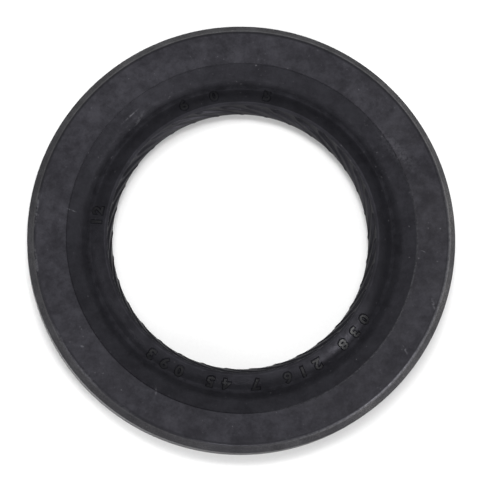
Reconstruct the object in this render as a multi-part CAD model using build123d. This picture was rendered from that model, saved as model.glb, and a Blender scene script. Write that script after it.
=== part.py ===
from build123d import *
import os
from math import atan, cos, degrees, hypot, pi, radians, sin, tan

# Radial shaft seal: a rubber-covered steel ring with a sprung main lip and a dust lip.
# Millimetres. +Z is the shaft axis. The oil side lies on z = 0 and the air side faces up.
# Sections are drawn in the XZ plane as (radius, height) and turned about Z.

# --- The shaft, the housing and the fits --------------------------------------------------
shaft_diameter = 45.0
housing_diameter = 72.0
seal_width = 10.0
press_allowance = 0.2  # outside diameter over the housing's
lip_interference = 1.6  # shaft diameter over the free main lip's
dust_lip_clearance = 0.2  # free dust lip's diameter over the shaft's

# --- Rubber over the steel ring -----------------------------------------------------------
sleeve_wall = 1.3  # rubber outside the ring's leg
inner_skin = 1.0  # rubber inside the ring's leg
face_cover = 1.1  # rubber over the web, on the air side
web_skin = 0.8  # rubber under the web, on the oil side
end_cover = 0.9  # rubber over the end of the leg
oil_chamfer_width = 0.6
oil_chamfer_height = 1.6
air_chamfer_width = 1.25
air_chamfer_height = 2.0
outer_edge_rounding = 0.7
inner_edge_chamfer = 0.35

# --- Steel stiffening ring ----------------------------------------------------------------
steel_thickness = 1.2
bend_inside_radius = 0.4
web_edge_inset = 0.3  # web's inner edge, inside the face's inner edge

# --- Air-side face and the sunken band inside it ------------------------------------------
face_width = 5.25
step_width = 0.15
step_drop = 0.25
slope_width = 2.35
slope_drop = 1.25
trough_width = 1.35
trough_depth = 2.85
face_edge_rounding = 0.12
step_rounding = 0.1
slope_rounding = 2.5
trough_rounding = 0.6

# --- Dust lip -----------------------------------------------------------------------------
dust_tip_height = 8.75
dust_tip_width = 0.56  # across its blunt end, measured radially
dust_tip_slope = 20.0  # blunt end, to the horizontal
pocket_height = 7.05  # bottom of the grease pocket under the dust lip
pocket_radius_growth = 2.25  # pocket's bottom, outside the main lip's contact edge
pocket_rounding = 0.4

# --- Main lip -----------------------------------------------------------------------------
lip_height = 3.5
contact_land = 0.25
air_flank_angle = 24.0  # to the shaft
oil_flank_angle = 45.0  # to the shaft
oil_flank_height = 1.5
air_flank_height = 2.9
neck_rounding = 0.6
hook_overlap = 0.5  # groove's mouth, outside the spring's centre circle
hook_width = 0.7
hook_drop = 0.35
hook_edge_rounding = 0.25
waist_height = 5.75
waist_inset = 0.55  # waist, inside the groove's mouth
waist_rounding = 0.5
groove_shoulder = 0.4  # rubber over the groove's mouth
web_root_inset = 0.4  # where the web's skin begins, inside the web's inner edge
web_root_rounding = 1.6
recess_corner_rounding = 0.8

# --- Garter spring ------------------------------------------------------------------------
coil_diameter = 2.0
spring_offset = 0.5  # its plane, above the contact edge
spring_wall = 1.55  # rubber between the contact edge and the groove's bottom
spring_clearance = 0.03

# --- Pumping ribs on the air-side flank of the main lip -----------------------------------
rib_count = 33
rib_angle = 21.0  # to the circumference
rib_crest = 0.12
rib_flank_angle = 38.0  # each side of a rib, to its middle plane
rib_height_low = 0.1  # at the contact edge
rib_height_high = 0.38  # at the top of the flank
rib_run_out = 0.2
rib_root_depth = 0.2
rib_zone_margin = 0.05  # from the ribs' crests to the ring they are trimmed by
first_rib_azimuth = 0.0

# --- Notches that bare the ring's end, left by the mould's supports -----------------------
notch_count = 8
notch_width = 2.4
notch_height = 1.9
first_notch_azimuth = 22.5

# --- What follows from them ---------------------------------------------------------------
outer_radius = (housing_diameter + press_allowance) / 2
lip_radius = (shaft_diameter - lip_interference) / 2
dust_lip_radius = (shaft_diameter + dust_lip_clearance) / 2

leg_outer_radius = outer_radius - sleeve_wall
leg_inner_radius = leg_outer_radius - steel_thickness
recess_radius = leg_inner_radius - inner_skin
face_outer_radius = outer_radius - air_chamfer_width
face_inner_radius = face_outer_radius - face_width
web_top = seal_width - face_cover
web_bottom = web_top - steel_thickness
web_inner_radius = face_inner_radius - web_edge_inset
recess_top = web_bottom - web_skin

step_radius = face_inner_radius - step_width
slope_radius = step_radius - slope_width
trough_radius = slope_radius - trough_width
trough_height = seal_width - trough_depth
dust_tip_drop = dust_tip_width * tan(radians(dust_tip_slope))
pocket_radius = lip_radius + pocket_radius_growth

coil_radius = coil_diameter / 2
spring_height = lip_height + spring_offset
spring_radius = lip_radius + spring_wall + coil_radius
groove_mouth_radius = spring_radius + hook_overlap
groove_half_mouth = (coil_radius**2 - hook_overlap**2) ** 0.5
head_bottom = lip_height - contact_land - oil_flank_height
head_inner_radius = lip_radius + oil_flank_height * tan(radians(oil_flank_angle))
flank_top = lip_height + air_flank_height
rib_top = flank_top - rib_run_out
rib_full_height_end = rib_top - rib_run_out


def flank_radius(height):
    """Radius of the main lip's air-side flank at a height above the contact edge."""
    return lip_radius + (height - lip_height) * tan(radians(air_flank_angle))


rib_crest_low = lip_radius - rib_height_low / cos(radians(air_flank_angle))
rib_crest_high = flank_radius(rib_full_height_end) - rib_height_high / cos(radians(air_flank_angle))


def fitting_radius(before, corner, after, wanted):
    """The wanted rounding of a corner, or the largest one that its two edges have room for."""
    to_before = (before[0] - corner[0], before[1] - corner[1])
    to_after = (after[0] - corner[0], after[1] - corner[1])
    shorter = min(hypot(*to_before), hypot(*to_after))
    across = abs(to_before[0] * to_after[1] - to_before[1] * to_after[0])
    along = to_before[0] * to_after[0] + to_before[1] * to_after[1]
    half_angle_tangent = across / (hypot(*to_before) * hypot(*to_after) + along)
    return min(wanted, 0.48 * shorter * half_angle_tangent)


def turned(*corners):
    """A ring turned about Z. Each corner of its section is (radius, height) or (radius, height, rounding)."""
    section = make_face(Polyline(*[corner[:2] for corner in corners], close=True))
    for i, corner in enumerate(corners):
        if len(corner) == 3:
            before = corners[i - 1]
            after = corners[(i + 1) % len(corners)]
            radius = fitting_radius(before, corner, after, corner[2])
            vertex = section.vertices().sort_by_distance(corner[:2])[0]
            section = fillet(vertex, radius)
    return revolve(Plane.XZ * section, Axis.Z)


def stiffening_ring():
    """Pressed steel ring of L section: a leg inside the sleeve and a web under the air-side face."""
    return turned(
        (leg_inner_radius, end_cover),
        (leg_outer_radius, end_cover),
        (leg_outer_radius, web_top, bend_inside_radius + steel_thickness),
        (web_inner_radius, web_top),
        (web_inner_radius, web_bottom),
        (leg_inner_radius, web_bottom, bend_inside_radius),
    )


def garter_spring():
    """Closed ring of coil spring, as the round ring that encloses its coils."""
    return Pos(0, 0, spring_height) * Torus(spring_radius, coil_radius)


def rubber_section_ring():
    """Rubber body as one turned ring: sleeve, face, sunken band, dust lip, main lip and membrane."""
    sleeve = (
        (recess_radius + inner_edge_chamfer, 0),
        (outer_radius - oil_chamfer_width, 0),
        (outer_radius, oil_chamfer_height),
        (outer_radius, seal_width - air_chamfer_height),
        (face_outer_radius, seal_width, outer_edge_rounding),
    )
    band = (
        (face_inner_radius, seal_width, face_edge_rounding),
        (step_radius, seal_width - step_drop, step_rounding),
        (slope_radius, seal_width - step_drop - slope_drop, slope_rounding),
        (trough_radius, trough_height, trough_rounding),
    )
    dust_lip = (
        (dust_lip_radius + dust_tip_width, dust_tip_height),
        (dust_lip_radius, dust_tip_height - dust_tip_drop),
        (pocket_radius, pocket_height, pocket_rounding),
    )
    main_lip = (
        (flank_radius(flank_top), flank_top, neck_rounding),
        (lip_radius, lip_height),
        (lip_radius, lip_height - contact_land),
        (head_inner_radius, head_bottom),
    )
    hook_height = spring_height - groove_half_mouth
    hook = (
        (groove_mouth_radius, head_bottom),
        (groove_mouth_radius + hook_width, hook_height - 2 * hook_drop, hook_edge_rounding),
        (groove_mouth_radius + hook_width, hook_height - hook_drop),
        (groove_mouth_radius, hook_height),
    )
    membrane = (
        (groove_mouth_radius, spring_height + groove_half_mouth + groove_shoulder),
        (groove_mouth_radius - waist_inset, waist_height, waist_rounding),
        (web_inner_radius - web_root_inset, recess_top, web_root_rounding),
        (recess_radius, recess_top, recess_corner_rounding),
        (recess_radius, inner_edge_chamfer),
    )
    return turned(*sleeve, *band, *dust_lip, *main_lip, *hook, *membrane)


def rib_zone():
    """Thin ring on the air-side flank that holds the ribs: their crests inside, their roots outside."""
    return turned(
        (rib_crest_low - rib_zone_margin, lip_height),
        (rib_crest_high - rib_zone_margin, rib_full_height_end),
        (flank_radius(rib_top), rib_top),
        (flank_radius(rib_top) + rib_root_depth, rib_top),
        (lip_radius + rib_root_depth, lip_height),
    )


def rib_blade():
    """One helical blade of tapered section that climbs the cone of the crests, longer than the flank."""
    crest_slope = (rib_crest_high - rib_crest_low) / (rib_full_height_end - lip_height)
    flare = atan(crest_slope)
    overrun = rib_root_depth
    start_radius = rib_crest_low - overrun * crest_slope
    middle_radius = rib_crest_low + crest_slope * air_flank_height / 2
    pitch = 2 * pi * middle_radius * tan(radians(rib_angle)) * cos(flare)
    climb = Helix(
        pitch,
        air_flank_height + 2 * overrun,
        start_radius,
        center=(0, 0, lip_height - overrun),
        cone_angle=degrees(flare),
    )
    # Across the crests' cone, x runs along its slope and y stands off it, towards the shaft.
    away_from_cone = Vector(-cos(flare), 0, sin(flare))
    across = Plane(origin=climb @ 0, x_dir=away_from_cone.cross(climb % 0), z_dir=climb % 0)
    depth = rib_height_high + 2 * rib_root_depth
    half_crest = rib_crest / 2
    half_root = half_crest + depth * tan(radians(rib_flank_angle))
    section = make_face(
        Polyline((-half_root, -depth), (half_root, -depth), (half_crest, 0), (-half_crest, 0), close=True)
    )
    return sweep(across * section, path=climb, is_frenet=True)


def pumping_ribs():
    """The ribs on the main lip, which pump oil back under a shaft that turns one way."""
    zone = rib_zone()
    blade = rib_blade()
    step = 360 / rib_count
    return [zone & (Rot(0, 0, first_rib_azimuth + i * step) * blade) for i in range(rib_count)]


def support_notches():
    """Notches round the inner edge of the oil-side end, as deep as half the steel's end."""
    depth = inner_skin + steel_thickness / 2
    notch = Pos(recess_radius + depth / 2, 0, notch_height / 2) * Box(depth, notch_width, notch_height)
    step = 360 / notch_count
    return [Rot(0, 0, first_notch_azimuth + i * step) * notch for i in range(notch_count)]


def seal_body():
    """The moulded rubber body, bonded round the steel ring."""
    groove = Pos(0, 0, spring_height) * Torus(spring_radius, coil_radius + spring_clearance)
    body = rubber_section_ring() - groove
    body = body + pumping_ribs()
    return body - stiffening_ring() - support_notches()


os.makedirs("parts", exist_ok=True)
export_step(seal_body(), "parts/seal_body.step")
export_step(stiffening_ring(), "parts/stiffening_ring.step")
export_step(garter_spring(), "parts/garter_spring.step")
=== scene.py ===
"""Radial shaft seal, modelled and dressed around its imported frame.

Metres, with +Z along the shaft axis and the oil side on z = 0, as in the frame. Sizes of the seal itself are held
in millimetres, because that is how such a seal is drawn. Azimuths are in degrees, anticlockwise from +X as seen
from the air side.
"""

import logging
from dataclasses import dataclass, replace
from enum import Enum
from functools import cached_property
from math import atan2, cos, hypot, pi, radians, sin, tan
from typing import Callable, Mapping, Sequence

import bmesh
import bpy
from mathutils import Matrix, Vector


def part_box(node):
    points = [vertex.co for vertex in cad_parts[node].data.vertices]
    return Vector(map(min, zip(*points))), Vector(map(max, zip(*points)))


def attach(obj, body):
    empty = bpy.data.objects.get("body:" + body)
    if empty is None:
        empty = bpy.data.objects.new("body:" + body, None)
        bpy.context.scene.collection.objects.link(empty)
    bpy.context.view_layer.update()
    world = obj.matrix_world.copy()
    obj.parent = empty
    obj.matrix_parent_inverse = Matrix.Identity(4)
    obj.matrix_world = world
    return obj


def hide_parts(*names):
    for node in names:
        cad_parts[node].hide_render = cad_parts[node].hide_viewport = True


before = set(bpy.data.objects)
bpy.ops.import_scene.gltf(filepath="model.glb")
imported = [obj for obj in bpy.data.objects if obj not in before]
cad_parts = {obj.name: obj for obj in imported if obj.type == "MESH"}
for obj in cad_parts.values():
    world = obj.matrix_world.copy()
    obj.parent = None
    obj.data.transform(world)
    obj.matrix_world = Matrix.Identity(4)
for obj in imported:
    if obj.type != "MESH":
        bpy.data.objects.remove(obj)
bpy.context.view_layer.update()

log = logging.getLogger("shaft_seal")

Piece = bpy.types.Object
Material = bpy.types.Material
Socket = bpy.types.NodeSocket

MM = 0.001
BODY = "root"
FULL_TURN = 2 * pi
ORIGIN = (0.0, 0.0, 0.0)
AXIS = (0.0, 0.0, 1.0)
SAME_PLACE = 1e-7  # metres within which two places are one
WELD_DISTANCE = 2e-6
MIX_FACTOR, MIX_A, MIX_B, MIX_RESULT = 0, 6, 7, 2  # sockets of a colour Mix node, whose names are not unique


def direction(azimuth: float, elevation: float = 0.0) -> Vector:
    """Gives the unit vector that points so many degrees round the axis and above the horizon."""
    turn, lift = radians(azimuth), radians(elevation)
    return Vector((cos(turn) * cos(lift), sin(turn) * cos(lift), sin(lift)))


def linear(hex_colour: str) -> tuple[float, float, float, float]:
    """Turns an sRGB hex colour into the linear one that a shader socket takes.

    Args:
        hex_colour: Six hex digits, with or without a leading #.

    Returns:
        Linear red, green, blue and an alpha of 1.
    """
    digits = hex_colour.lstrip("#")
    channels = [int(digits[i : i + 2], 16) / 255 for i in (0, 2, 4)]
    curve = [c / 12.92 if c <= 0.04045 else ((c + 0.055) / 1.055) ** 2.4 for c in channels]
    return (curve[0], curve[1], curve[2], 1.0)


# --- Modelling steps, each made of the editor's own operators ---


@dataclass(frozen=True)
class Corner:
    """A corner of a turned section, in millimetres."""

    radius: float
    height: float
    rounding: float = 0.0
    segments: int = 4


def deselect() -> None:
    """Goes back to object mode, whatever was open, and selects nothing."""
    if bpy.context.object and bpy.context.object.mode != "OBJECT":
        bpy.ops.object.mode_set(mode="OBJECT")
    bpy.ops.object.select_all(action="DESELECT")


def select_only(piece: Piece) -> None:
    """Selects one object alone and makes it active.

    Args:
        piece: The object.
    """
    deselect()
    piece.select_set(True)
    bpy.context.view_layer.objects.active = piece


def open_piece(piece: Piece) -> None:
    """Opens one object in edit mode."""
    select_only(piece)
    bpy.ops.object.mode_set(mode="EDIT")


def open_new(name: str) -> Piece:
    """Names the object that was added last and opens it in edit mode.

    Args:
        name: Its name.

    Returns:
        The object, with everything in it selected.
    """
    piece = bpy.context.object
    piece.name = name
    piece.data.name = name
    bpy.ops.object.mode_set(mode="EDIT")
    bpy.ops.mesh.select_all(action="SELECT")
    return piece


def pick(piece: Piece, wanted: Callable[[Vector], bool]) -> int:
    """Selects the vertices that a test of their place lets through.

    Args:
        piece: An object in edit mode.
        wanted: The test, on a place in metres.

    Returns:
        How many vertices are selected.
    """
    bpy.ops.mesh.select_all(action="DESELECT")
    mesh = bmesh.from_edit_mesh(piece.data)
    count = 0
    for vertex in mesh.verts:
        if wanted(vertex.co):
            vertex.select = True
            count += 1
    mesh.select_flush(True)
    bmesh.update_edit_mesh(piece.data)
    return count


def pick_point(piece: Piece, corner: Corner) -> None:
    """Selects the one vertex of an open section that stands at a corner.

    Args:
        piece: The section, in edit mode.
        corner: The corner. A section without a vertex there is an error.
    """
    place = Vector((corner.radius * MM, 0.0, corner.height * MM))
    found = pick(piece, lambda co: (co - place).length < SAME_PLACE)
    if found != 1:
        raise ValueError(f"{found} vertices at {corner}")


def move(x: float, y: float, z: float) -> None:
    """Moves what is selected by so many millimetres."""
    bpy.ops.transform.translate(value=(x * MM, y * MM, z * MM))


def rotate(angle: float, axis: str) -> None:
    """Turns what is selected anticlockwise about an axis of the frame, by radians."""
    # Without a window the operator turns clockwise for a positive angle.
    bpy.ops.transform.rotate(value=-angle, orient_axis=axis, center_override=ORIGIN)


def scale(x: float, y: float, z: float) -> None:
    """Scales what is selected about the frame's origin."""
    bpy.ops.transform.resize(value=(x, y, z), center_override=ORIGIN)


def copy_round(count: int) -> None:
    """Repeats what is selected round the shaft axis, until there are so many, evenly spaced."""
    angle = FULL_TURN * (count - 1) / count
    bpy.ops.mesh.spin(steps=count - 1, dupli=True, angle=angle, center=ORIGIN, axis=AXIS)


def round_corner(piece: Piece, before: Corner, corner: Corner, after: Corner) -> None:
    """Rounds one corner of an open section with a vertex bevel.

    Args:
        piece: The section, in edit mode.
        before: The corner ahead of it.
        corner: The corner that is rounded, with its radius and its segments.
        after: The corner behind it.
    """
    inward = atan2(corner.height - before.height, corner.radius - before.radius)
    outward = atan2(after.height - corner.height, after.radius - corner.radius)
    turn = abs((outward - inward + pi) % FULL_TURN - pi)
    setback = corner.rounding * tan(turn / 2)
    pick_point(piece, corner)
    bpy.ops.mesh.bevel(
        offset=setback * MM,
        offset_type="OFFSET",
        segments=corner.segments,
        profile=0.5,
        affect="VERTICES",
    )


def draw_on(piece: Piece, corners: Sequence[Corner]) -> None:
    """Draws an open section on from its selected end and rounds the corners on the way.

    Args:
        piece: The section, in edit mode, with its vertex at the first corner selected.
        corners: The corners in order; the two ends are never rounded.
    """
    for here, there in zip(corners, corners[1:]):
        step = ((there.radius - here.radius) * MM, 0.0, (there.height - here.height) * MM)
        bpy.ops.mesh.extrude_region_move(TRANSFORM_OT_translate={"value": step})
    for before, corner, after in zip(corners, corners[1:], corners[2:]):
        if corner.rounding:
            round_corner(piece, before, corner, after)


def draw_section(name: str, corners: Sequence[Corner]) -> Piece:
    """Draws an open section in the XZ plane, from a plane merged at its centre.

    Args:
        name: The new object's name.
        corners: The corners in order.

    Returns:
        The section, in edit mode.
    """
    deselect()
    bpy.ops.mesh.primitive_plane_add(size=MM)
    piece = open_new(name)
    bpy.ops.mesh.merge(type="CENTER")
    move(corners[0].radius, 0.0, corners[0].height)
    draw_on(piece, corners)
    return piece


def turn_section(columns: int) -> None:
    """Spins everything in the open object a whole turn about the shaft axis."""
    bpy.ops.mesh.select_all(action="SELECT")
    bpy.ops.mesh.spin(steps=columns, angle=FULL_TURN, center=ORIGIN, axis=AXIS, use_auto_merge=True)


def join(pieces: Sequence[Piece], name: str) -> Piece:
    """Joins several meshes into one, merges doubled vertices and turns all faces outwards.

    Args:
        pieces: The objects; the first one lives on.
        name: The name of the joined object.

    Returns:
        The joined object.
    """
    deselect()
    for piece in pieces:
        piece.select_set(True)
    bpy.context.view_layer.objects.active = pieces[0]
    bpy.ops.object.join()
    joined = open_new(name)
    bpy.ops.mesh.remove_doubles(threshold=WELD_DISTANCE)
    bpy.ops.mesh.normals_make_consistent(inside=False)
    deselect()
    return joined


def apply_modifier(piece: Piece, kind: str, **settings: object) -> None:
    """Adds a modifier with its settings and applies it.

    Args:
        piece: The object that gets it.
        kind: The modifier's type name.
        **settings: The modifier's attributes.
    """
    select_only(piece)
    bpy.ops.object.modifier_add(type=kind)
    modifier = piece.modifiers[-1]
    for name, value in settings.items():
        setattr(modifier, name, value)
    bpy.ops.object.modifier_apply(modifier=modifier.name)


def coat(piece: Piece, *finishes: Material) -> None:
    """Gives a piece its materials, and no others.

    Args:
        piece: The object.
        *finishes: The materials, in the order of their slots.
    """
    piece.data.materials.clear()
    for finish in finishes:
        piece.data.materials.append(finish)


# --- Shader graph ---


@dataclass(frozen=True)
class Patches:
    """Soft patches that a noise lays over a surface."""

    size_mm: float  # size of the largest
    detail: float
    none_at: float  # noise at which a patch begins
    full_at: float
    gain: float = 0.6  # strength of each finer layer next to the one before


class Graph:
    """The node tree of a material or a world, grown node by node. Its methods give the new node's output."""

    def __init__(self, owner: Material | bpy.types.World) -> None:
        """Empties the owner's node tree and takes it over.

        Args:
            owner: The material or the world.
        """
        owner.use_nodes = True
        self.tree = owner.node_tree
        self.tree.nodes.clear()

    def add(
        self, kind: str, inputs: Mapping[int | str, object] | None = None, **settings: object
    ) -> bpy.types.Node:
        """Adds one node with its settings, its values and its links.

        Args:
            kind: The node's type name.
            inputs: Socket name or number to a value, or to the output socket that feeds it.
            **settings: Attributes of the node itself.

        Returns:
            The new node.
        """
        node = self.tree.nodes.new(kind)
        for name, value in settings.items():
            setattr(node, name, value)
        for key, value in (inputs or {}).items():
            socket = node.inputs[key]
            if isinstance(value, Socket):
                self.tree.links.new(value, socket)
            else:
                socket.default_value = value
        return node

    def math(self, operation: str, *values: float | Socket) -> Socket:
        """Adds a step of reckoning with numbers."""
        return self.add("ShaderNodeMath", dict(enumerate(values)), operation=operation).outputs[0]

    def vector(self, operation: str, *values: Vector | Socket, out: str = "Vector") -> Socket:
        """Adds a step of reckoning with vectors, whose outcome is its "Vector" or its "Value"."""
        return self.add("ShaderNodeVectorMath", dict(enumerate(values)), operation=operation).outputs[out]

    def weigh(self, mask: Socket, weight: float | Socket, rest: float | Socket = 0.0) -> Socket:
        """Adds mask times weight plus the rest."""
        return self.math("MULTIPLY_ADD", mask, weight, rest)

    @cached_property
    def place(self) -> Socket:
        """The place on the piece, in metres."""
        return self.add("ShaderNodeTexCoord").outputs["Object"]

    @cached_property
    def outward(self) -> Socket:
        """The vector to that place from the nearest point of the shaft axis."""
        return self.vector("MULTIPLY", self.place, Vector((1.0, 1.0, 0.0)))

    @cached_property
    def radius(self) -> Socket:
        """The distance from the shaft axis, in metres."""
        return self.vector("LENGTH", self.outward, out="Value")

    def noise(self, size_mm: float, detail: float = 2.0, gain: float = 0.5) -> Socket:
        """Adds a noise with features of so many millimetres, and a gain from each layer to the finer one."""
        inputs = {"Vector": self.place, "Scale": 1000.0 / size_mm, "Detail": detail, "Roughness": gain}
        return self.add("ShaderNodeTexNoise", inputs).outputs["Fac"]

    def mask(self, value: Socket, none_at: float, full_at: float) -> Socket:
        """Adds a soft mask that is 0 at one value and 1 at another."""
        inputs = {"Value": value, "From Min": none_at, "From Max": full_at}
        return self.add("ShaderNodeMapRange", inputs, interpolation_type="SMOOTHSTEP").outputs[0]

    def patches(self, kind: Patches) -> Socket:
        """Adds the mask of some patches."""
        return self.mask(self.noise(kind.size_mm, kind.detail, kind.gain), kind.none_at, kind.full_at)

    def near(self, circle: float, width: float) -> Socket:
        """Adds a soft mask that is 1 on a circle of that radius and 0 beyond a width, in millimetres."""
        distance = self.math("ABSOLUTE", self.math("SUBTRACT", self.radius, circle * MM))
        return self.mask(distance, width * MM, 0.0)

    def side(self, azimuth: float, start: float) -> Socket:
        """Adds a soft mask that is 1 on one side of the seal and begins at a cosine of the angle from it."""
        away = self.vector("NORMALIZE", self.outward)
        return self.mask(self.vector("DOT_PRODUCT", away, direction(azimuth), out="Value"), start, 1.0)

    def mix(self, share: Socket, first: str | Socket, second: str) -> Socket:
        """Adds a mix of two colours, with a share of the second."""
        under = linear(first) if isinstance(first, str) else first
        inputs = {MIX_FACTOR: share, MIX_A: under, MIX_B: linear(second)}
        return self.add("ShaderNodeMix", inputs, data_type="RGBA").outputs[MIX_RESULT]

    def spread(self, noise: Socket, low: float, high: float) -> Socket:
        """Adds a roughness that goes from low to high with the middle range of a noise."""
        inputs = {"Value": noise, "From Min": 0.3, "From Max": 0.7, "To Min": low, "To Max": high}
        return self.add("ShaderNodeMapRange", inputs).outputs[0]

    def bump(self, relief: Socket, height_mm: float) -> Socket:
        """Adds the normal of a relief of so many millimetres."""
        inputs = {"Height": relief, "Distance": height_mm * MM, "Strength": 1.0}
        return self.add("ShaderNodeBump", inputs).outputs[0]

    def cover(self, inputs: Mapping[str, object]) -> None:
        """Ends a material's graph with a principled shader of these inputs."""
        shader = self.add("ShaderNodeBsdfPrincipled", inputs)
        self.add("ShaderNodeOutputMaterial", {"Surface": shader.outputs[0]})


# --- Finishes ---


class Finish:
    """A finish that makes a material of its own name."""

    name: str

    def paint(self, graph: Graph) -> None:
        """Builds the shader on an empty graph."""
        raise NotImplementedError

    def material(self) -> Material:
        """Makes the material.

        Returns:
            The material.
        """
        material = bpy.data.materials.new(self.name)
        self.paint(Graph(material))
        return material


@dataclass(frozen=True)
class PaleOval:
    """A pale long oval laid on the rubber, seen from the air side. Most are patches that handling has chafed; the
    faint wide one on the face is a painted pool of light.
    """

    azimuth: float
    radius: float  # millimetres from the axis
    length: float
    width: float
    turn: float = 0.0  # degrees that its length is turned from the circumference
    strength: float = 1.0


@dataclass(frozen=True)
class MouldedNitrileRubber(Finish):
    """Black nitrile rubber, compression moulded in a spark-eroded steel mould.

    Carbon black makes it almost black, with a faint violet sheen. The eroded mould leaves a fine matt grain that
    scatters light widely. A thin greyish film of mould release lies on the chamfer and in patches over the face,
    with a few pale flecks of chafed rubber. Painted light lies on top: the film is laid thicker towards one side
    of the seal, the rim and the face's inner edge carry painted highlights towards another, and a faint wide oval
    on the face is a painted pool of light. The creases and the bore stay clean, and so darker.
    """

    name: str
    face_radii: tuple[float, float]  # inner and outer edge of the face, in millimetres
    lip_radii: tuple[float, float]  # the dust lip's tip and the bottom of the trough round it
    face_height: float
    pale_ovals: tuple[PaleOval, ...] = ()
    deep: str = "#060608"
    worn: str = "#161619"
    mottle: Patches = Patches(4.0, 6.0, 0.32, 0.68, gain=0.85)
    clouds: Patches = Patches(7.0, 4.0, 0.3, 0.7)
    cloud_strength: float = 1.4
    cloud_floor: float = 0.3
    film: str = "#6b6866"
    film_on_face: float = 0.004
    film_on_chamfer: float = 0.025
    # the film is laid thicker towards this azimuth: painted light on that side of the face and the chamfer
    lit_side_azimuth: float = 345.0
    lit_side_start: float = 0.2  # cosine of the angle from that azimuth at which the painted light begins
    lit_side_film_on_face: float = 0.01
    lit_side_film_on_chamfer: float = 0.06
    face_fade: float = 0.1  # width over which the film ends at the face's inner edge
    chamfer_fade: float = 0.25  # the same from the face to the chamfer
    dust: Patches = Patches(0.25, 2.0, 0.42, 0.66)  # the film's specks on the chamfer
    dust_strength: float = 2.0
    dust_floor: float = 0.15
    rim_outset: float = 0.1  # from the face's outer edge to the middle of its rounding
    # the rim and the face's inner edge are paler towards this azimuth: painted highlights
    rim_highlight_azimuth: float = 330.0
    rim_highlight_start: float = 0.45
    rim_highlight_width: float = 0.35
    edge_inset: float = 0.08  # from the face's inner edge to the middle of its rounding
    edge_highlight: float = 0.7  # painted highlight on that edge, next to the rim's
    edge_highlight_width: float = 0.2
    streaks: Patches = Patches(0.5, 3.0, 0.35, 0.65)  # what breaks the scuffs and the painted highlights up
    streak_strength: float = 0.6
    streak_floor: float = 0.4
    # pale grey of the scuffs, of the painted highlights and of the painted pool of light
    scuff_and_highlight_grey: str = "#424245"
    oval_depth: float = 4.0  # how far below the face an oval still reaches
    oval_core: float = 0.2  # share of an oval that is pale in full
    fleck: str = "#3a393b"
    fleck_mm: float = 0.5
    fleck_clouding: float = 0.03  # how much easier flecks come where the clouds are
    fleck_start: float = 0.77
    fleck_full: float = 0.85
    roughness_low: float = 0.50
    roughness_high: float = 0.66
    rim_polish: float = 0.26  # how much less rough the rim is, from handling
    rim_polish_width: float = 0.4
    lip_polish: float = 0.26  # the same for the middle of the dust lip's slope, which a finer insert moulds
    crease_dulling: float = 0.25  # how much rougher the trough's bottom is, where release agent gathers
    crease_width: float = 0.7
    fine_gain: float = 0.6  # strength of each finer layer of the flecks and the grain
    grain_mm: float = 0.35  # the real grain is about 0.05 mm, drawn as coarse as it needs to show
    grain_height_mm: float = 0.012
    index: float = 1.52
    specular_level: float = 0.155  # the pits of the matt skin swallow two thirds of what a smooth one reflects
    sheen_tint: str = "#edeafa"

    @property
    def rim_radius(self) -> float:
        """Middle of the rounding between the face and the chamfer."""
        return self.face_radii[1] + self.rim_outset

    def film_share(self, graph: Graph, clouds: Socket) -> Socket:
        """Adds how much of the film covers each spot, laid thicker towards one side as painted light there.

        Args:
            graph: The material's graph.
            clouds: Uneven cover, about 1 on average.

        Returns:
            The share.
        """
        # thicker film towards one side: painted light
        lit_side_share = graph.side(self.lit_side_azimuth, self.lit_side_start)
        inner, outer = (edge * MM for edge in self.face_radii)
        cover_on_face = graph.weigh(lit_side_share, self.lit_side_film_on_face, self.film_on_face)
        on_face = graph.weigh(graph.mask(graph.radius, inner - self.face_fade * MM, inner), cover_on_face)
        cover_on_chamfer = graph.weigh(lit_side_share, self.lit_side_film_on_chamfer, self.film_on_chamfer)
        dust = graph.weigh(graph.patches(self.dust), self.dust_strength, self.dust_floor)
        on_chamfer = graph.weigh(graph.mask(graph.radius, outer, outer + self.chamfer_fade * MM), dust)
        return graph.weigh(graph.weigh(on_chamfer, cover_on_chamfer, on_face), clouds)

    def fleck_mask(self, graph: Graph, clouds: Socket) -> Socket:
        """Adds a mask of small scattered flecks, denser where the clouds are."""
        peaks = graph.weigh(clouds, self.fleck_clouding, graph.noise(self.fleck_mm, 1.0, self.fine_gain))
        return graph.mask(peaks, self.fleck_start, self.fleck_full)

    def scuff_and_highlight_mask(self, graph: Graph) -> Socket:
        """Adds a mask of the scuffs, a painted pool of light and painted highlights on the edges, broken up by
        fine streaks.

        Args:
            graph: The material's graph.

        Returns:
            The mask.
        """
        streaks = graph.patches(self.streaks)
        rim = graph.near(self.rim_radius, self.rim_highlight_width)
        inner_edge = graph.near(self.face_radii[0] - self.edge_inset, self.edge_highlight_width)
        edges = graph.weigh(inner_edge, self.edge_highlight, rim)
        # only towards one side: painted highlights on the rim and the inner edge
        highlit_edges = graph.weigh(edges, graph.side(self.rim_highlight_azimuth, self.rim_highlight_start))
        total = graph.weigh(highlit_edges, graph.weigh(streaks, self.streak_strength, self.streak_floor))
        for pale_oval in self.pale_ovals:
            centre = direction(pale_oval.azimuth) * pale_oval.radius * MM
            inputs = {
                "Vector": graph.place,
                "Location": (centre.x, centre.y, self.face_height * MM),
                "Rotation": (0.0, 0.0, radians(pale_oval.azimuth + 90.0 + pale_oval.turn)),
                "Scale": (pale_oval.length / 2 * MM, pale_oval.width / 2 * MM, self.oval_depth * MM),
            }
            oval = graph.add("ShaderNodeMapping", inputs, vector_type="TEXTURE").outputs[0]
            distance = graph.vector("LENGTH", oval, out="Value")
            mark = graph.weigh(graph.mask(distance, 1.0, self.oval_core), streaks)
            total = graph.weigh(mark, pale_oval.strength, total)
        return total

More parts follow.
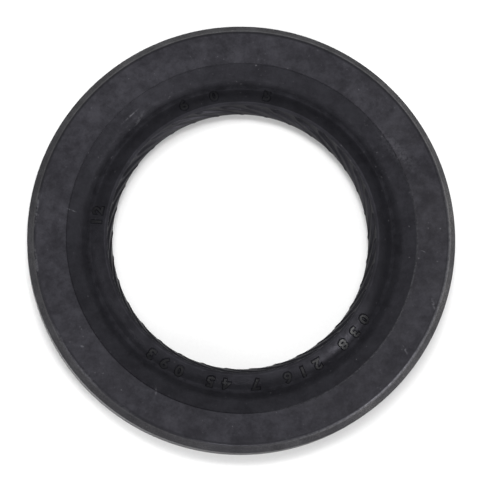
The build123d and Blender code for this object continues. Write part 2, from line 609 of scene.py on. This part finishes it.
    def roughness(self, graph: Graph, mottle: Socket) -> Socket:
        """Adds the roughness, with the rim and the lip polished and the trough dulled.

        Args:
            graph: The material's graph.
            mottle: The mottle, which is smoother where it is 1.

        Returns:
            The roughness.
        """
        tip_radius, crease_radius = self.lip_radii
        half_slope = (crease_radius - tip_radius) / 2
        circles = (
            (self.rim_radius, self.rim_polish_width, -self.rim_polish),
            (tip_radius + half_slope, half_slope, -self.lip_polish),
            (crease_radius, self.crease_width, self.crease_dulling),
        )
        roughness = graph.weigh(mottle, -(self.roughness_high - self.roughness_low), self.roughness_high)
        for circle, width, change in circles:
            roughness = graph.weigh(graph.near(circle, width), change, roughness)
        return roughness

    def paint(self, graph: Graph) -> None:
        """Builds the shader: mottled rubber, then scuffs and painted highlights, film with painted light on one
        side, and flecks, over the grain.

        Args:
            graph: The material's graph.
        """
        mottle = graph.patches(self.mottle)
        clouds = graph.weigh(graph.patches(self.clouds), self.cloud_strength, self.cloud_floor)
        rubber = graph.mix(mottle, self.deep, self.worn)
        # pale scuffs, with painted highlights and a painted pool of light laid on
        chafed_and_highlit = graph.mix(self.scuff_and_highlight_mask(graph), rubber, self.scuff_and_highlight_grey)
        filmed = graph.mix(self.film_share(graph, clouds), chafed_and_highlit, self.film)
        flecked = graph.mix(self.fleck_mask(graph, clouds), filmed, self.fleck)
        grain = graph.noise(self.grain_mm, gain=self.fine_gain)
        graph.cover({
            "Base Color": flecked,
            "Roughness": self.roughness(graph, mottle),
            "Normal": graph.bump(grain, self.grain_height_mm),
            "IOR": self.index,
            "Specular IOR Level": self.specular_level,
            "Specular Tint": linear(self.sheen_tint),
        })


@dataclass(frozen=True)
class PolishedNitrileRubber(Finish):
    """Nitrile rubber moulded against engraved and hand-polished steel, as on the tops of the numerals."""

    name: str = "polished_nitrile_rubber"
    deep: str = "#060608"
    worn: str = "#101013"
    roughness_low: float = 0.24
    roughness_high: float = 0.42
    mottle_mm: float = 0.5
    index: float = 1.52
    specular_level: float = 0.17

    def paint(self, graph: Graph) -> None:
        """Builds the shader."""
        mottle = graph.noise(self.mottle_mm, 3.0)
        graph.cover({
            "Base Color": graph.mix(mottle, self.deep, self.worn),
            "Roughness": graph.spread(mottle, self.roughness_low, self.roughness_high),
            "IOR": self.index,
            "Specular IOR Level": self.specular_level,
        })


@dataclass(frozen=True)
class PhosphatedSteel(Finish):
    """Cold-rolled steel strip, deep drawn and zinc phosphated so that rubber bonds to it.

    The phosphate is a thin layer of grey crystals, so the steel looks like dull slate with a weak metallic glint.
    """

    name: str = "phosphated_steel"
    crystal_dark: str = "#5b5c5b"
    crystal_light: str = "#83847f"
    metallic: float = 0.75
    roughness: float = 0.55
    crystal_mm: float = 0.25
    crystal_height_mm: float = 0.01

    def paint(self, graph: Graph) -> None:
        """Builds the shader."""
        crystals = graph.noise(self.crystal_mm, 4.0)
        graph.cover({
            "Base Color": graph.mix(crystals, self.crystal_dark, self.crystal_light),
            "Metallic": self.metallic,
            "Roughness": self.roughness,
            "Normal": graph.bump(crystals, self.crystal_height_mm),
        })


@dataclass(frozen=True)
class DrawnSpringWire(Finish):
    """Patented high-carbon wire, drawn bright through dies and lightly oiled.

    Drawing leaves fine marks on the wire and a clean, slightly warm grey shine.
    """

    name: str = "drawn_spring_wire"
    bright: str = "#b5b2aa"
    dull: str = "#85827b"
    roughness_low: float = 0.24
    roughness_high: float = 0.42
    streak_mm: float = 0.4

    def paint(self, graph: Graph) -> None:
        """Builds the shader."""
        streaks = graph.noise(self.streak_mm, 3.0)
        graph.cover({
            "Base Color": graph.mix(streaks, self.dull, self.bright),
            "Metallic": 1.0,
            "Roughness": graph.spread(streaks, self.roughness_low, self.roughness_high),
        })


@dataclass(frozen=True)
class WhiteCard(Finish):
    """Matt white card under the seal, with the faint tooth of its paper.

    It keeps the seal's soft shadow. From below it is clear, so that the oil side shows.
    """

    name: str = "white_card"
    hollow: str = "#e1e1e1"
    crest: str = "#e7e7e7"
    tooth_mm: float = 0.5

    def paint(self, graph: Graph) -> None:
        """Builds the shader.

        Args:
            graph: The material's graph.
        """
        paper = graph.mix(graph.noise(self.tooth_mm), self.hollow, self.crest)
        matt = graph.add("ShaderNodeBsdfDiffuse", {"Color": paper}).outputs[0]
        clear = graph.add("ShaderNodeBsdfTransparent").outputs[0]
        from_below = graph.add("ShaderNodeNewGeometry").outputs["Backfacing"]
        surface = graph.add("ShaderNodeMixShader", {0: from_below, 1: matt, 2: clear})
        graph.add("ShaderNodeOutputMaterial", {"Surface": surface.outputs[0]})


# --- The seal's pieces ---


@dataclass
class SealSection:
    """Sizes of the seal's section, in millimetres. The overall ones come from the frame.

    The last two numbers of a corner are the radius of its rounding and how many segments draw it.
    """

    outer_radius: float
    width: float
    lip_radius: float = 21.7
    dust_lip_radius: float = 22.6
    oil_chamfer_width: float = 0.6
    oil_chamfer_height: float = 1.6
    air_chamfer_width: float = 1.25
    air_chamfer_height: float = 2.0
    inner_edge_chamfer: float = 0.35
    recess_wall: float = 3.5  # sleeve, from its outside to the recess
    recess_top: float = 6.9
    face_width: float = 5.25
    step_width: float = 0.15
    step_drop: float = 0.25
    slope_width: float = 2.35
    slope_drop: float = 1.25
    trough_width: float = 1.35
    trough_depth: float = 2.85
    dust_tip_height: float = 8.75
    dust_tip_width: float = 0.56
    dust_tip_slope: float = 20.0
    pocket_height: float = 7.05
    pocket_radius_growth: float = 2.25
    lip_height: float = 3.5
    contact_land: float = 0.25
    air_flank_angle: float = 24.0
    oil_flank_height: float = 1.5
    air_flank_height: float = 2.9
    hook_width: float = 0.7
    hook_drop: float = 0.35
    waist_height: float = 5.75
    waist_inset: float = 0.55
    groove_shoulder: float = 0.4
    web_root_radius: float = 28.9
    spring_radius: float = 24.25
    spring_height: float = 4.0
    groove_radius: float = 1.03
    hook_overlap: float = 0.5

    @property
    def face_outer_radius(self) -> float:
        """Outer edge of the air-side face."""
        return self.outer_radius - self.air_chamfer_width

    @property
    def face_inner_radius(self) -> float:
        """Inner edge of the air-side face."""
        return self.face_outer_radius - self.face_width

    @property
    def dust_tip_radius(self) -> float:
        """Outer edge of the dust lip's tip."""
        return self.dust_lip_radius + self.dust_tip_width

    @property
    def trough_radius(self) -> float:
        """Bottom of the trough round the dust lip."""
        return self.face_inner_radius - self.step_width - self.slope_width - self.trough_width

    @property
    def trough_height(self) -> float:
        """Height of that bottom."""
        return self.width - self.trough_depth

    @property
    def pocket_radius(self) -> float:
        """Widest circle of the grease pocket between the two lips."""
        return self.lip_radius + self.pocket_radius_growth

    @property
    def flank_top(self) -> float:
        """Height at which the main lip's air-side flank ends."""
        return self.lip_height + self.air_flank_height

    @property
    def mouth_radius(self) -> float:
        """Radius of the spring groove's mouth."""
        return self.spring_radius + self.hook_overlap

    @property
    def groove_half_mouth(self) -> float:
        """Half the height of the spring groove's mouth."""
        return (self.groove_radius**2 - self.hook_overlap**2) ** 0.5

    def flank_radius(self, height: float) -> float:
        """Radius of the main lip's air-side flank at a height."""
        return self.lip_radius + (height - self.lip_height) * tan(radians(self.air_flank_angle))

    def air_side(self, seam_height: float) -> list[Corner]:
        """Corners from the flank's upper end over the dust lip, the band and the face to the outer wall.

        Args:
            seam_height: Height on the flank at which the ribbed strip takes over.

        Returns:
            The corners in order.
        """
        step = self.face_inner_radius - self.step_width
        slope = step - self.slope_width
        tip_drop = self.dust_tip_width * tan(radians(self.dust_tip_slope))
        return [
            Corner(self.flank_radius(seam_height), seam_height),
            Corner(self.flank_radius(self.flank_top), self.flank_top, 0.6, 5),
            Corner(self.pocket_radius, self.pocket_height, 0.4, 6),
            Corner(self.dust_lip_radius, self.dust_tip_height - tip_drop, 0.1, 3),
            Corner(self.dust_tip_radius, self.dust_tip_height, 0.15, 3),
            Corner(self.trough_radius, self.trough_height, 0.6, 8),
            Corner(slope, self.width - self.step_drop - self.slope_drop, 2.5, 5),
            Corner(step, self.width - self.step_drop, 0.1, 3),
            Corner(self.face_inner_radius, self.width, 0.12, 4),
            Corner(self.face_outer_radius, self.width, 0.7, 8),
            Corner(self.outer_radius, self.width - self.air_chamfer_height, 0.2, 3),
        ]

    def oil_side(self) -> list[Corner]:
        """Corners from the outer wall round the end face and the recess to the spring groove's upper edge.

        Returns:
            The corners in order.
        """
        recess = self.outer_radius - self.recess_wall
        mouth = self.mouth_radius
        mouth_top = self.spring_height + self.groove_half_mouth
        return [
            Corner(self.outer_radius, self.oil_chamfer_height, 0.2, 3),
            Corner(self.outer_radius - self.oil_chamfer_width, 0.0, 0.12, 3),
            Corner(recess + self.inner_edge_chamfer, 0.0, 0.08, 2),
            Corner(recess, self.inner_edge_chamfer, 0.1, 2),
            Corner(recess, self.recess_top, 0.8, 6),
            Corner(self.web_root_radius, self.recess_top, 1.6, 4),
            Corner(mouth - self.waist_inset, self.waist_height, 0.17, 6),
            Corner(mouth, mouth_top + self.groove_shoulder, 0.12, 3),
            Corner(mouth, mouth_top),
        ]

    def lip_head(self) -> list[Corner]:
        """Corners from the spring groove's lower edge round the hook to the main lip's contact edge.

        Returns:
            The corners in order.
        """
        mouth = self.mouth_radius
        mouth_bottom = self.spring_height - self.groove_half_mouth
        head_bottom = self.lip_height - self.contact_land - self.oil_flank_height
        return [
            Corner(mouth, mouth_bottom),
            Corner(mouth + self.hook_width, mouth_bottom - self.hook_drop, 0.08, 2),
            Corner(mouth + self.hook_width, mouth_bottom - 2 * self.hook_drop, 0.25, 4),
            Corner(mouth, head_bottom, 0.15, 3),
            Corner(self.lip_radius + self.oil_flank_height, head_bottom, 0.15, 3),
            Corner(self.lip_radius, self.lip_height - self.contact_land, 0.03, 2),
            Corner(self.lip_radius, self.lip_height),
        ]


@dataclass
class SealBody:
    """The moulded rubber body, with the helical ribs on its main lip."""

    section: SealSection
    finish: Material
    bore_finish: Material
    rib_count: int = 33
    columns_per_rib: int = 16
    flank_rings: int = 30
    twist_columns: int = 30  # a rib's climb along the strip, at 21 degrees to the circumference
    first_rib_column: int = 3
    rib_crest: float = 0.12
    rib_flank_angle: float = 38.0  # each side of a rib, to its middle plane
    rib_angle: float = 21.0
    rib_height_low: float = 0.1
    rib_height_high: float = 0.38
    rib_run_out: float = 0.2
    rib_half_columns: int = 5  # columns from a rib's middle to beyond its foot
    ring_tolerance: float = 1e-6  # metres off a ring's radius within which a vertex belongs to it
    seam_height: float = 6.22
    groove_steps: int = 20
    notch_count: int = 8
    notch_width: float = 2.4
    notch_height: float = 1.9
    notch_depth: float = 1.6
    notch_rounding: float = 0.12
    notch_reach: float = 1.0  # how far a notch's cutter stands out into the open
    first_notch_azimuth: float = 22.5
    sharp_over: float = 38.0  # degrees of turn above which an edge stays sharp

    @property
    def columns(self) -> int:
        """Mesh columns round the axis."""
        return self.rib_count * self.columns_per_rib

    def ring_height(self, ring: int) -> float:
        """Height of one of the flank's rings, counted from the contact edge up."""
        low = self.section.lip_height
        return low + ring * (self.seam_height - low) / self.flank_rings

    def build(self) -> Piece:
        """Turns the body, twists the ribbed flank into it, and cuts the notches.

        Returns:
            The finished piece.
        """
        shell = self.turn_shell()
        self.raise_ring(shell, 0)
        flank = self.turn_flank()
        for ring in range(self.flank_rings):
            self.raise_ring(flank, ring)
        body = join([shell, flank], "rubber_body")
        self.cut_notches(body)
        select_only(body)
        bpy.ops.object.shade_smooth_by_angle(angle=radians(self.sharp_over))
        apply_modifier(body, "WEIGHTED_NORMAL", mode="FACE_AREA", weight=50, keep_sharp=True)
        self.dress(body)
        return body

    def dress(self, body: Piece) -> None:
        """Gives the body its finish, and the bore's under the dust lip its own.

        Args:
            body: The finished mesh.
        """
        coat(body, self.finish, self.bore_finish)
        widest = self.section.pocket_radius * MM
        lowest = self.section.lip_height * MM
        highest = (self.section.dust_tip_height - self.section.dust_tip_width) * MM
        for face in body.data.polygons:
            co = face.center
            if lowest < co.z < highest and hypot(co.x, co.y) < widest:
                face.material_index = 1

    def turn_shell(self) -> Piece:
        """Draws the whole section but the ribbed flank and turns it about the axis.

        Returns:
            The turned shell, in edit mode.
        """
        upper = self.section.air_side(self.seam_height) + self.section.oil_side()
        shell = draw_section("shell", upper)
        self.draw_groove(shell, upper[-1])
        draw_on(shell, self.section.lip_head())
        turn_section(self.columns)
        return shell

    def draw_groove(self, shell: Piece, mouth: Corner) -> None:
        """Spins the section's end round the spring groove, from its upper edge to its lower one.

        Args:
            shell: The open section, in edit mode.
            mouth: The corner at the groove's upper edge.
        """
        section = self.section
        half_mouth_angle = atan2(section.groove_half_mouth, section.hook_overlap)
        pick_point(shell, mouth)
        bpy.ops.mesh.spin(
            steps=self.groove_steps,
            angle=FULL_TURN - 2 * half_mouth_angle,
            center=(section.spring_radius * MM, 0.0, section.spring_height * MM),
            axis=(0.0, 1.0, 0.0),  # the operator turns clockwise about it, so inwards from the upper edge
        )
        pick_point(shell, section.lip_head()[0])

    def turn_flank(self) -> Piece:
        """Turns the strip of the flank that carries the ribs, and twists its rings along their helix.

        Returns:
            The strip, in edit mode.
        """
        heights = [self.ring_height(ring) for ring in range(self.flank_rings + 1)]
        corners = [Corner(self.section.flank_radius(height), height) for height in heights]
        flank = draw_section("flank", corners)
        turn_section(self.columns)
        whole_twist = FULL_TURN * self.twist_columns / self.columns
        for ring, height in enumerate(heights):
            pick(flank, lambda co: abs(co.z - height * MM) < SAME_PLACE)
            rotate(whole_twist * ring / self.flank_rings, "Z")
        return flank

    def rib_height(self, height: float, off_centre: float) -> float:
        """How far a rib stands off the flank, towards the shaft.

        Args:
            height: Height above the oil-side end, in millimetres.
            off_centre: Distance from the rib's middle, square to the rib, in millimetres.

        Returns:
            The relief in millimetres, measured radially.
        """
        section = self.section
        run_out_end = section.flank_top - self.rib_run_out
        run_out_start = run_out_end - self.rib_run_out
        if height < run_out_start:
            climb = (height - section.lip_height) / (run_out_start - section.lip_height)
            crest = self.rib_height_low + climb * (self.rib_height_high - self.rib_height_low)
        else:
            crest = self.rib_height_high * max(0.0, run_out_end - height) / self.rib_run_out
        side = max(0.0, off_centre - self.rib_crest / 2) / tan(radians(self.rib_flank_angle))
        return max(0.0, crest - side) / cos(radians(section.air_flank_angle))

    def raise_ring(self, piece: Piece, ring: int) -> None:
        """Draws the ribs' columns inwards on one ring of the flank.

        Args:
            piece: The mesh that holds the ring.
            ring: The ring's number, from the contact edge up.
        """
        height = self.ring_height(ring)
        radius = self.section.flank_radius(height)
        step = FULL_TURN / self.columns
        ring_twist = step * self.twist_columns * ring / self.flank_rings
        across = radius * step * sin(radians(self.rib_angle))
        first, period = self.first_rib_column, self.columns_per_rib
        for offset in range(self.rib_half_columns):
            relief = self.rib_height(height, offset * across)
            wanted = {offset, (period - offset) % period}

            def on_rib(co: Vector) -> bool:
                """Tells whether a vertex stands on this ring and in one of the wanted columns."""
                off_height, off_radius = abs(co.z - height * MM), abs(hypot(co.x, co.y) - radius * MM)
                return (
                    off_height <= SAME_PLACE
                    and off_radius <= self.ring_tolerance
                    and (round((atan2(co.y, co.x) - ring_twist) / step) - first) % period in wanted
                )

            if relief > 0.0:
                open_piece(piece)
                pick(piece, on_rib)
                share = 1 - relief / radius
                scale(share, share, 1.0)

    def cut_notches(self, body: Piece) -> None:
        """Cuts the notches that the mould's supports leave at the inner edge of the oil-side end.

        Args:
            body: The turned mesh.
        """
        inner = self.section.outer_radius - self.section.recess_wall - self.notch_reach
        length = self.notch_depth + self.notch_reach
        tall = self.notch_height + self.notch_reach
        deselect()
        bpy.ops.mesh.primitive_cube_add(size=MM)
        cutter = open_new("cutter")
        scale(length, self.notch_width, tall)
        bpy.ops.mesh.bevel(offset=self.notch_rounding * MM, segments=2, affect="EDGES")
        move(inner + length / 2, 0.0, self.notch_height - tall / 2)
        rotate(radians(self.first_notch_azimuth), "Z")
        copy_round(self.notch_count)
        apply_modifier(body, "BOOLEAN", object=cutter, operation="DIFFERENCE", solver="EXACT")
        bpy.data.objects.remove(cutter)


@dataclass
class GarterSpring:
    """The close-wound coil spring that presses the main lip on the shaft."""

    section: SealSection
    finish: Material
    wire: float = 0.35
    coil_diameter: float = 2.0
    coil_segments: int = 18
    wire_sides: int = 8

    def build(self) -> Piece:
        """Winds one turn of wire and repeats it round the ring.

        Returns:
            The finished piece.
        """
        mean_coil_radius = (self.coil_diameter - self.wire) / 2
        lead = atan2(self.wire / 2, 2 * mean_coil_radius)
        deselect()
        bpy.ops.mesh.primitive_torus_add(
            major_segments=self.coil_segments,
            minor_segments=self.wire_sides,
            major_radius=mean_coil_radius * MM,
            minor_radius=self.wire / 2 * MM,
        )
        coil = open_new("spring_coil")
        rotate(-pi / 2 - lead, "X")
        move(self.section.spring_radius, 0.0, self.section.spring_height)
        copy_round(int(FULL_TURN * self.section.spring_radius / self.wire))
        select_only(coil)
        bpy.ops.object.shade_smooth()
        coat(coil, self.finish)
        return coil


class Reading(Enum):
    """Which way a row of numerals runs round the seal, seen from the air side."""

    CLOCKWISE = -1
    ANTICLOCKWISE = 1


@dataclass(frozen=True)
class NumeralRow:
    """One row of plain numerals on the dust lip."""

    figures: str
    start_azimuth: float
    spacing: float  # degrees from one figure to the next


@dataclass
class MouldedNumerals:
    """Plain raised numerals round the outside of the dust lip, as a mould's index numbers."""

    section: SealSection
    top_finish: Material
    # dull rubber on the figures' flanks: painted shade
    shaded_flank_finish: Material
    rows: Sequence[NumeralRow]
    figure_height: float = 2.0
    height_share: float = 0.72  # a figure's height next to its font's size
    relief: float = 0.2
    sunk: float = 0.2
    flank_width: float = 0.18
    stroke_growth: float = 0.06
    curve_steps: int = 3
    outward_shift: float = 0.05  # from the middle of the lip's slope
    top_cosine: float = 0.9  # of the angle from the figure's own upright within which a face is its top
    sharp_over: float = 30.0  # degrees of turn above which an edge stays sharp
    reading: Reading = Reading.CLOCKWISE

    def figure(self, text: str, azimuth: float) -> Piece:
        """Makes one figure and lays it on the lip.

        Args:
            text: The figure.
            azimuth: Its place round the seal.

        Returns:
            The figure as a mesh in its place.
        """
        deselect()
        bpy.ops.object.text_add()
        figure = bpy.context.object
        font = figure.data
        font.body = text
        font.align_x = "CENTER"
        font.align_y = "CENTER"
        font.size = self.figure_height / self.height_share * MM
        font.resolution_u = self.curve_steps
        font.offset = self.stroke_growth * MM
        font.bevel_depth = self.flank_width * MM
        font.bevel_resolution = 0
        font.extrude = ((self.relief + self.sunk) / 2 - self.flank_width) * MM
        bpy.ops.object.convert(target="MESH")
        coat(figure, self.top_finish, self.shaded_flank_finish)
        # flanks take the dull rubber: painted shade round each figure
        for face in figure.data.polygons:
            face.material_index = 0 if face.normal.z > self.top_cosine else 1
        select_only(figure)
        figure.matrix_world = self.seat(azimuth)
        bpy.ops.object.transform_apply(location=True, rotation=True, scale=True)
        return figure

    def seat(self, azimuth: float) -> Matrix:
        """Finds the place of a figure on the lip's outer slope, and how it lies there.

        Args:
            azimuth: Its place round the seal.

        Returns:
            The figure's matrix.
        """
        section = self.section
        tip_radius = section.dust_tip_radius
        fall = atan2(section.dust_tip_height - section.trough_height, section.trough_radius - tip_radius)
        out = direction(azimuth)
        along = Vector((-out.y, out.x, 0.0)) * self.reading.value
        normal = out * sin(fall) + Vector((0.0, 0.0, cos(fall)))
        top = normal.cross(along)
        middle_radius = (tip_radius + section.trough_radius) / 2 + self.outward_shift
        middle_height = section.dust_tip_height - (middle_radius - tip_radius) * tan(fall)
        centre = out * middle_radius * MM + Vector((0.0, 0.0, middle_height * MM))
        centre += normal * (self.relief - self.sunk) / 2 * MM
        return Matrix.Translation(centre) @ Matrix((along, top, normal)).transposed().to_4x4()

    def build(self) -> Piece:
        """Lays out all rows and joins their figures.

        Returns:
            The finished piece.
        """
        figures = []
        for row in self.rows:
            for i, text in enumerate(row.figures):
                azimuth = row.start_azimuth + self.reading.value * i * row.spacing
                if text != " ":
                    figures.append(self.figure(text, azimuth))
        numerals = join(figures, "moulded_numerals")
        select_only(numerals)
        bpy.ops.object.shade_smooth_by_angle(angle=radians(self.sharp_over))
        return numerals


@dataclass
class StiffeningRing:
    """The pressed steel ring inside the rubber, which shows only in the notches."""

    finish: Material

    def dress(self) -> Piece:
        """Gives the frame's own ring its steel.

        Returns:
            The frame's node.
        """
        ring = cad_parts["stiffening_ring"]
        coat(ring, self.finish)
        return ring


# --- The studio ---


@dataclass(frozen=True)
class SoftBox:
    """A square soft light that faces the seal."""

    name: str
    azimuth: float
    elevation: float
    size: float
    power: float
    distance: float = 1.0

    def light(self) -> Piece:
        """Hangs the light in its place.

        Returns:
            The light.
        """
        data = bpy.data.lights.new(self.name, "AREA")
        data.shape = "SQUARE"
        data.size = self.size
        data.energy = self.power
        lamp = bpy.data.objects.new(self.name, data)
        bpy.context.scene.collection.objects.link(lamp)
        away = direction(self.azimuth, self.elevation)
        lamp.location = away * self.distance
        lamp.rotation_euler = away.to_track_quat("Z", "Y").to_euler()
        lamp.visible_camera = False
        return lamp


@dataclass
class Studio:
    """White card, soft light and a long lens almost straight above the seal."""

    lights: Sequence[SoftBox]
    card_size: float = 4.0
    sky_strength: float = 0.47
    view_azimuth: float = 243.4
    view_tilt: float = 6.3
    view_distance: float = 0.690
    view_centre: tuple[float, float, float] = (-0.144, 0.091, 5.0)  # millimetres
    lens: float = 306.0
    sensor: float = 36.0
    nearest: float = 0.01
    farthest: float = 20.0

    def build(self) -> None:
        """Lays the card, sets the sky and the lights, and puts up the camera."""
        self.lay_card()
        self.set_sky()
        for box in self.lights:
            box.light()
        self.put_up_camera()
        bpy.context.scene.view_settings.view_transform = "Standard"

    def lay_card(self) -> None:
        """Lays the white card under the seal."""
        deselect()
        bpy.ops.mesh.primitive_plane_add(size=self.card_size)
        card = bpy.context.object
        card.name = "card"
        card.visible_shadow = False  # so that the light below reaches the oil side
        coat(card, WhiteCard().material())

    def set_sky(self) -> None:
        """Lights the scene evenly from all round, and shows white where nothing stands."""
        world = bpy.data.worlds.new("studio")
        bpy.context.scene.world = world
        graph = Graph(world)
        sky, white = (
            graph.add("ShaderNodeBackground", {"Color": linear("#ffffff"), "Strength": strength}).outputs[0]
            for strength in (self.sky_strength, 1.0)
        )
        rays = graph.add("ShaderNodeLightPath").outputs
        reflected = graph.math("MAXIMUM", rays["Is Glossy Ray"], rays["Is Transmission Ray"])
        seen = graph.math("MAXIMUM", rays["Is Camera Ray"], reflected)
        shown = graph.add("ShaderNodeMixShader", {0: seen, 1: sky, 2: white})
        graph.add("ShaderNodeOutputWorld", {"Surface": shown.outputs[0]})

    def put_up_camera(self) -> None:
        """Puts the camera above the seal, a little towards the lower left, with +Y upwards in the picture."""
        data = bpy.data.cameras.new("camera")
        data.lens = self.lens
        data.sensor_width = self.sensor
        data.clip_start = self.nearest
        data.clip_end = self.farthest
        camera = bpy.data.objects.new("camera", data)
        bpy.context.scene.collection.objects.link(camera)
        tilt, turn = radians(self.view_tilt), radians(self.view_azimuth)
        back = Vector((sin(tilt) * cos(turn), sin(tilt) * sin(turn), cos(tilt)))
        right = Vector((0.0, 1.0, 0.0)).cross(back).normalized()
        up = back.cross(right)
        centre = Vector(self.view_centre) * MM
        rotation = Matrix((right, up, back)).transposed().to_4x4()
        camera.matrix_world = Matrix.Translation(centre + back * self.view_distance) @ rotation
        bpy.context.scene.camera = camera


def main() -> None:
    """Builds the seal's pieces, reports each one, and sets up the studio."""
    logging.basicConfig(level=logging.INFO, format="%(name)s: %(message)s")
    low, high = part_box("seal_body")
    section = SealSection(outer_radius=high.x / MM, width=(high.z - low.z) / MM)
    skin = MouldedNitrileRubber(
        name="moulded_nitrile_rubber",
        face_radii=(section.face_inner_radius, section.face_outer_radius),
        lip_radii=(section.dust_tip_radius, section.trough_radius),
        face_height=section.width,
        pale_ovals=tuple(PaleOval(*row) for row in (
            # azimuth, radius, length, width, turn, strength
            (131.0, 26.5, 4.0, 1.0, 15.0, 1.0),
            (171.0, 29.0, 2.2, 0.3, 80.0, 1.0),
            (240.8, 29.6, 2.2, 0.5, -61.0, 0.6),
            (132.5, 27.9, 5.0, 0.35, 0.0, 1.0),
            (172.0, 34.8, 9.0, 0.7, 0.0, 0.8),
            (187.0, 34.8, 9.0, 0.7, 0.0, 0.8),
            (341.0, 34.0, 2.6, 0.7, 35.0, 0.7),
            (325.5, 33.2, 2.2, 0.5, 60.0, 0.7),
            (356.0, 30.5, 1.8, 0.25, 70.0, 0.6),
            # faint wide oval on the face: a painted pool of light
            (30.0, 30.0, 12.0, 3.5, 12.0, 0.22),
            (209.5, 31.1, 0.9, 0.45, 0.0, 0.8),
            (214.5, 32.5, 0.9, 0.5, 40.0, 0.8),
            (209.0, 34.9, 8.0, 0.9, 0.0, 0.3),
            (222.0, 34.9, 8.0, 0.9, 0.0, 0.35),
            (236.0, 34.9, 8.0, 0.8, 0.0, 0.25),
        )),
    )
    rubber = skin.material()
    # the numerals' flanks: the rubber with little reflection and high roughness, painted shade round the figures'
    # feet
    shaded_flank_rubber = replace(
        skin, name="painted_shade_flank_rubber", specular_level=0.04, roughness_low=0.75, roughness_high=0.9
    ).material()
    bore_rubber = replace(
        skin, name="ground_nitrile_rubber", specular_level=0.13, roughness_low=0.34, roughness_high=0.48
    ).material()
    polished = PolishedNitrileRubber().material()
    numerals = (
        # figures, azimuth of the first, spacing
        NumeralRow("038 216 7", 326.8, 6.4),
        NumeralRow("45 093", 264.0, 6.4),
        NumeralRow("12", 173.5, 4.5),
        NumeralRow("60", 113.5, 12.5),
        NumeralRow("5", 80.0, 6.4),
    )

    body = SealBody(section, rubber, bore_rubber).build()
    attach(body, BODY)
    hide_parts("seal_body")
    log.info("%s: %d faces", body.name, len(body.data.polygons))

    marks = MouldedNumerals(section, polished, shaded_flank_rubber, numerals).build()
    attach(marks, BODY)
    log.info("%s: %d faces", marks.name, len(marks.data.polygons))

    coil = GarterSpring(section, DrawnSpringWire().material()).build()
    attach(coil, BODY)
    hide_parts("garter_spring")
    log.info("%s: %d faces", coil.name, len(coil.data.polygons))

    ring = StiffeningRing(PhosphatedSteel().material()).dress()
    log.info("%s: dressed", ring.name)

    lights = (
        # name, azimuth, elevation, size, power
        ("top", 95.0, 83.0, 0.15, 1.6),
        ("key", 109.0, 75.0, 0.25, 4.5),
        ("key_right", 45.0, 75.0, 0.2, 1.4),
        ("back", 100.0, 65.0, 0.3, 0.9),
        ("back_left", 150.0, 65.0, 0.25, 1.6),
        ("left", 190.0, 40.0, 0.3, 1.1),
        ("right", 319.0, 33.0, 0.3, 2.4),
        ("window_left", 217.0, 15.0, 0.35, 3.4),
        ("window_front", 270.0, 15.0, 0.3, 3.5),
        ("window_right", 320.0, 15.0, 0.35, 6.4),
        ("under_left", 200.0, -62.0, 0.5, 4.0),
        ("under_right", 20.0, -62.0, 0.5, 4.0),
        ("under_back", 110.0, -62.0, 0.5, 4.0),
    )
    Studio([SoftBox(*row) for row in lights]).build()


if __name__ == "__main__":
    main()
